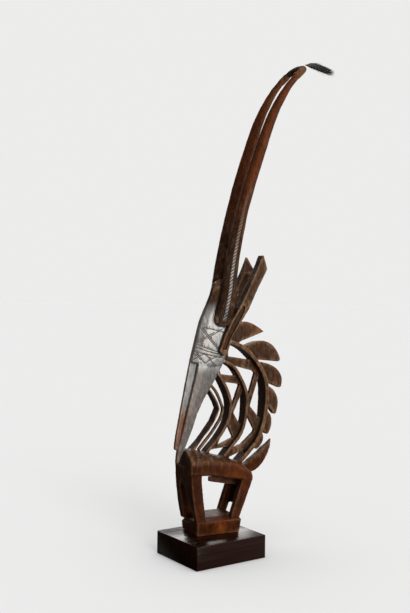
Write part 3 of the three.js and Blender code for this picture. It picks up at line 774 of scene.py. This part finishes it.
def carved_wood_colour(wood, grain, mottle, polish_and_sheen, cuts):
    """The plain wood's colour under a painted grey sheen, worn edges that are also painted lighter as
    highlights, and hollows and cuts darkened by dirt and painted shade.
    """
    colour = plain_wood_colour(wood, grain, mottle)
    # Painted sheen: grey standing in for the lamp's reflection, laid over the polished parts
    grey = wood.mix(mottle, *GREY_SHEEN)
    grey = wood.mix(wood.attribute("red_ridge"), grey, RED_RIDGE)
    colour = wood.lay_over(colour, grey, polish_and_sheen, SHEEN_SHOWS)
    # Worn edges painted lighter: wear and painted highlights
    wear_and_highlight_layer = wood.math("MULTIPLY", wood.attribute("wear_and_highlight"), wood.remap(mottle, 0, 1, WEAR_AND_HIGHLIGHT_LEAST, 1))
    bare_and_highlight = wood.mix(wood.attribute("warm"), BARE_AND_HIGHLIGHT_BROWN, BARE_AND_HIGHLIGHT_RED)
    colour = wood.lay_over(colour, bare_and_highlight, wear_and_highlight_layer, WEAR_AND_HIGHLIGHT_SHOWS)
    # Hollows painted darker: dirt and painted shade
    colour = wood.lay_over(colour, HOLLOW_DIRT_AND_SHADE, wood.attribute("hollow"), HOLLOW_SHOWS)
    # Cuts painted darker: dirt and painted shade
    return wood.lay_over(colour, CUT_DIRT_AND_SHADE, cuts, CUTS_SHOW)


def carved_wood():
    """Dark old wood: reddish below, dusty on the mane, worn and painted lighter as highlights along the
    edges, polished with a painted grey sheen on the face, painted darker as shade in hollows and cuts.
    """
    wood = Nodes("carved_wood")
    grain = wood.noise(*GRAIN_NOISE)
    mottle = wood.noise(*MOTTLE_NOISE)
    polish_and_sheen = wood.attribute("polish_and_sheen")
    cuts = all_cuts(wood)
    wood.surface("Base Color", carved_wood_colour(wood, grain, mottle, polish_and_sheen, cuts))
    rough = wood.remap(mottle, 0, 1, *PLAIN_ROUGHNESS)
    smooth = wood.remap(mottle, 0, 1, *POLISHED_ROUGHNESS)
    wood.surface("Roughness", wood.mix(polish_and_sheen, rough, smooth))
    uncut = wood.math("SUBTRACT", 1, cuts)
    wood.surface("Metallic", wood.math("MULTIPLY", wood.remap(polish_and_sheen, 0, 1, *METALLIC), uncut))
    wood.number("Specular IOR Level", WOOD_SPECULAR)
    grain_height = wood.math("MULTIPLY", grain, GRAIN_RELIEF)
    height = wood.math("ADD", grain_height, wood.math("MULTIPLY", mottle, MOTTLE_RELIEF))
    wood.bump(wood.math("SUBTRACT", height, wood.math("MULTIPLY", cuts, CUT_RELIEF)), *WOOD_BUMP)
    return wood.material


def plinth_wood():
    wood = Nodes("plinth_wood")
    grain = wood.noise(*PLINTH_NOISE)
    wood.surface("Base Color", wood.mix(grain, *PLINTH_COLOURS))
    wood.surface("Roughness", wood.remap(grain, 0, 1, *PLINTH_ROUGHNESS))
    wood.number("Specular IOR Level", PLINTH_SPECULAR)
    wood.bump(grain, *PLINTH_BUMP)
    return wood.material


def black_hair():
    hair = Nodes("black_hair")
    hair.surface("Base Color", hair.mix(hair.noise(*HAIR_NOISE), *HAIR_COLOURS))
    hair.number("Roughness", HAIR_ROUGHNESS)
    return hair.material


def red_thread():
    thread = Nodes("red_thread")
    twist = thread.noise(*THREAD_NOISE)
    thread.surface("Base Color", thread.mix(twist, *THREAD_COLOURS))
    thread.number("Roughness", THREAD_ROUGHNESS)
    thread.bump(twist, *THREAD_BUMP)
    return thread.material


def floor_paint():
    paint = Nodes("floor_paint")
    paint.number("Base Color", (*FLOOR_PAINT, 1))
    paint.number("Roughness", 1)
    paint.number("Specular IOR Level", 0)
    return paint.material


# Pieces

def carve_details(mesh):
    """Tool marks, the roped ridge of the horns and the engraved lines, as moves along the normals."""
    points = mesh_points(mesh)
    normals = mesh_normals(mesh)
    place = to_figure(points)
    depth = -sum(height * smooth_noise(place / size, seed) for size, height, seed in TOOL_MARKS)
    depth -= ROPE_HEIGHT * horn_cuts(place)[1]
    depth += ENGRAVING_DEPTH * face_engraving(place, turned_to_figure(normals))
    move_points(mesh, points - normals * (depth * MM)[:, None])


def make_carving():
    """The carving as one fine mesh: remeshed, rounded, carved, thinned and painted."""
    piece = new_piece("carved_antelope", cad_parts["headdress"].data.copy())
    remesh = piece.modifiers.new("remesh", "REMESH")
    remesh.mode = "VOXEL"
    remesh.voxel_size = VOXEL
    mesh = applied(piece)
    move_points(mesh, neighbour_mean(mesh_points(mesh), mesh_edges(mesh), SMOOTHING_ROUNDS))
    carve_details(mesh)
    mesh.calc_loop_triangles()
    thin = piece.modifiers.new("thin", "DECIMATE")
    thin.ratio = min(1, CARVING_TRIANGLES / len(mesh.loop_triangles))
    thin.use_collapse_triangulate = True
    paint_shares(applied(piece))
    return dress(piece, carved_wood(), "headdress")


def make_plinth():
    """The plinth with rounded edges in place of its plain bevel."""
    low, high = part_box("plinth")
    mesh = bpy.data.meshes.new("plinth_block")
    corners = [(x, y, z) for x in (low.x, high.x) for y in (low.y, high.y) for z in (low.z, high.z)]
    faces = [(0, 1, 3, 2), (4, 6, 7, 5), (0, 4, 5, 1), (2, 3, 7, 6), (0, 2, 6, 4), (1, 5, 7, 3)]
    mesh.from_pydata(corners, [], faces)
    piece = new_piece("plinth_block", mesh)
    bevel = piece.modifiers.new("bevel", "BEVEL")
    bevel.width = PLINTH_EDGE
    bevel.segments = PLINTH_EDGE_STEPS
    bevel.harden_normals = True
    applied(piece)
    return dress(piece, plinth_wood(), "plinth")


def ring_round(line, k, radius, sides):
    """Points round one inner point of a line."""
    along = (line[k + 1] - line[k - 1]).normalized()
    across = along.cross(Vector((0, 0, 1))).normalized()
    up = across.cross(along)
    ring = []
    for s in range(sides):
        angle = s / sides * 2 * math.pi
        offset = across * math.cos(angle) + up * math.sin(angle)
        ring.append(line[k] + offset * radius)
    return ring


def tube_faces(start, rings, sides):
    """Faces of one closed tube whose first point has the number start."""
    faces = []
    last = start + 1 + (rings - 1) * sides
    end = last + sides
    for s in range(sides):
        t = (s + 1) % sides
        faces.append((start, start + 1 + t, start + 1 + s))
        for r in range(rings - 1):
            a = start + 1 + r * sides
            faces.append((a + s, a + t, a + sides + t, a + sides + s))
        faces.append((last + s, last + t, end))
    return faces


def tube_mesh(lines, radii, sides):
    """Closed thin tubes along several lines of points, in one mesh. A line's ends are single points."""
    vertices = []
    faces = []
    for line in lines:
        start = len(vertices)
        vertices.append(line[0])
        for k in range(1, len(line) - 1):
            vertices.extend(ring_round(line, k, radii[k], sides))
        vertices.append(line[-1])
        faces.extend(tube_faces(start, len(line) - 2, sides))
    mesh = bpy.data.meshes.new("tubes")
    mesh.from_pydata(vertices, [], faces)
    return mesh


def bundle_point(t):
    """Place and spread of the hair bundle at share t of its length."""
    steps = np.linspace(0, 1, len(TUFT_LINE))
    line = np.array(TUFT_LINE, float)
    place = [float(np.interp(t, steps, line[:, c])) for c in range(3)]
    return Vector(place), float(np.interp(t, steps, TUFT_SPREAD))


def hair_strand(draw, loose):
    """One strand of the tuft; a loose one wanders further from the bundle."""
    angle = draw.uniform(0, 2 * math.pi)
    off_centre = math.sqrt(draw.uniform(0, 1))
    length = draw.uniform(SHORTEST_STRAND, 1.0)
    lift = draw.normal(LOOSE_LIFT * loose, LIFT_SPREAD + LOOSE_LIFT_SPREAD * loose)
    sway = draw.normal(0, SWAY_SPREAD + LOOSE_SWAY_SPREAD * loose)
    line = []
    for k in range(STRAND_STEPS + 1):
        share = k / STRAND_STEPS
        place, spread = bundle_point(share * length)
        reach = spread * off_centre
        x = place.x + reach * math.cos(angle) + sway * share * share
        z = place.z + reach * math.sin(angle) + lift * share * share
        line.append(from_figure(x, place.y, z))
    return line


def make_tuft():
    draw = np.random.default_rng(TUFT_SEED)
    lines = [hair_strand(draw, k >= STRANDS) for k in range(STRANDS + LOOSE_STRANDS)]
    radii = [STRAND_RADIUS * MM * (1 - STRAND_TAPER * k / STRAND_STEPS) for k in range(STRAND_STEPS + 1)]
    piece = new_piece("hair_strands", tube_mesh(lines, radii, STRAND_SIDES))
    return dress(piece, black_hair(), "hair_tuft")


def make_binding():
    """Thread wound round the root of the hair and tied to the horn tip."""
    line = [from_figure(*THREAD_START)]
    for k in range(WINDING_STEPS + 1):
        share = k / WINDING_STEPS
        angle = share * WINDING_TURNS * 2 * math.pi
        reach = WINDING_REACH + WINDING_WIDENS * share
        x, y, z = (start + run * share for start, run in zip(WINDING_START, WINDING_RUN))
        line.append(from_figure(x + reach * math.cos(angle), y, z + reach * math.sin(angle)))
    line.append(from_figure(*THREAD_END))
    piece = new_piece("thread_binding", tube_mesh([line], [THREAD_RADIUS * MM] * len(line), THREAD_SIDES))
    return dress(piece, red_thread(), "tip_binding")


# Stage

def make_floor():
    mesh = bpy.data.meshes.new("floor")
    reach = FLOOR_REACH
    corners = [(-reach, -reach, 0), (reach, -reach, 0), (reach, reach, 0), (-reach, reach, 0)]
    mesh.from_pydata(corners, [], [(0, 1, 2, 3)])
    mesh.materials.append(floor_paint())
    floor = new_piece("floor", mesh)
    floor.visible_diffuse = False
    floor.visible_glossy = False
    return floor


def make_camera():
    level = Vector((-math.sin(CAMERA_AZIMUTH), math.cos(CAMERA_AZIMUTH), 0))
    top = Vector((0, 0, 1))
    forward = level * math.cos(CAMERA_PITCH) + top * math.sin(CAMERA_PITCH)
    right = forward.cross(top).normalized()
    up = right.cross(forward)
    rolled_right = right * math.cos(CAMERA_ROLL) + up * math.sin(CAMERA_ROLL)
    rolled_up = up * math.cos(CAMERA_ROLL) - right * math.sin(CAMERA_ROLL)
    data = bpy.data.cameras.new("camera")
    data.lens = CAMERA_LENS
    data.sensor_width = SENSOR
    camera = bpy.data.objects.new("camera", data)
    bpy.context.scene.collection.objects.link(camera)
    turn = Matrix((rolled_right, rolled_up, -forward)).transposed().to_4x4()
    camera.matrix_world = Matrix.Translation(CAMERA_PLACE) @ turn
    bpy.context.scene.camera = camera


def new_light(data, azimuth, elevation, receivers):
    """A light object that shines from one side on the receivers alone, and the way towards it."""
    light = bpy.data.objects.new(data.name, data)
    bpy.context.scene.collection.objects.link(light)
    a, e = math.radians(azimuth), math.radians(elevation)
    toward = Vector((math.cos(a) * math.cos(e), math.sin(a) * math.cos(e), math.sin(e)))
    light.rotation_euler = toward.to_track_quat("Z", "Y").to_euler()
    chosen = bpy.data.collections.new("lit_by_" + data.name)
    for receiver in receivers:
        chosen.objects.link(receiver)
    light.light_linking.receiver_collection = chosen
    return light, toward


def soft_light(pieces, name, azimuth, elevation, distance, size, power, colour):
    data = bpy.data.lights.new(name, "AREA")
    data.shape = "RECTANGLE"
    data.size, data.size_y = size
    data.energy = power
    data.color = colour
    light, toward = new_light(data, azimuth, elevation, pieces)
    light.location = Vector(LIGHT_TARGET) + toward * distance
    light.visible_camera = False


def floor_lamp(floor, name, azimuth, elevation, width, power):
    data = bpy.data.lights.new(name, "SUN")
    data.energy = power
    data.angle = math.radians(width)
    new_light(data, azimuth, elevation, [floor])


def side_glow(tree, direction, side, reach, strength):
    """How strongly one side glows, for each direction."""
    toward = tree.nodes.new("ShaderNodeVectorMath")
    toward.operation = "DOT_PRODUCT"
    toward.inputs[1].default_value = side
    tree.links.new(direction, toward.inputs[0])
    level = tree.nodes.new("ShaderNodeMapRange")
    level.inputs["From Min"].default_value, level.inputs["From Max"].default_value = reach
    level.inputs["To Min"].default_value, level.inputs["To Max"].default_value = strength
    tree.links.new(toward.outputs["Value"], level.inputs["Value"])
    return level.outputs[0]


def make_world():
    """A soft glow on the pieces from two sides, and a plain background for the camera."""
    world = bpy.data.worlds.new("studio")
    bpy.context.scene.world = world
    world.use_nodes = True
    tree = world.node_tree
    tree.nodes.clear()
    output = tree.nodes.new("ShaderNodeOutputWorld")
    seen = tree.nodes.new("ShaderNodeBackground")
    seen.inputs["Color"].default_value = (*BACKGROUND, 1)
    lit = tree.nodes.new("ShaderNodeBackground")
    lit.inputs["Color"].default_value = (*GLOW_COLOUR, 1)
    direction = tree.nodes.new("ShaderNodeTexCoord").outputs["Generated"]
    total = tree.nodes.new("ShaderNodeMath")
    total.operation = "ADD"
    for socket, glow in zip(total.inputs, SIDE_GLOWS):
        tree.links.new(side_glow(tree, direction, *glow), socket)
    tree.links.new(total.outputs[0], lit.inputs["Strength"])
    path = tree.nodes.new("ShaderNodeLightPath")
    mixed = tree.nodes.new("ShaderNodeMixShader")
    tree.links.new(path.outputs["Is Camera Ray"], mixed.inputs[0])
    tree.links.new(lit.outputs[0], mixed.inputs[1])
    tree.links.new(seen.outputs[0], mixed.inputs[2])
    tree.links.new(mixed.outputs[0], output.inputs[0])


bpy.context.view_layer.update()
make_camera()
floor = make_floor()
pieces = [make_carving(), make_plinth(), make_tuft(), make_binding()]
for light in SOFT_LIGHTS:
    soft_light(pieces, *light)
for lamp in FLOOR_LAMPS:
    floor_lamp(floor, *lamp)
make_world()
bpy.context.scene.view_settings.view_transform = "Standard"
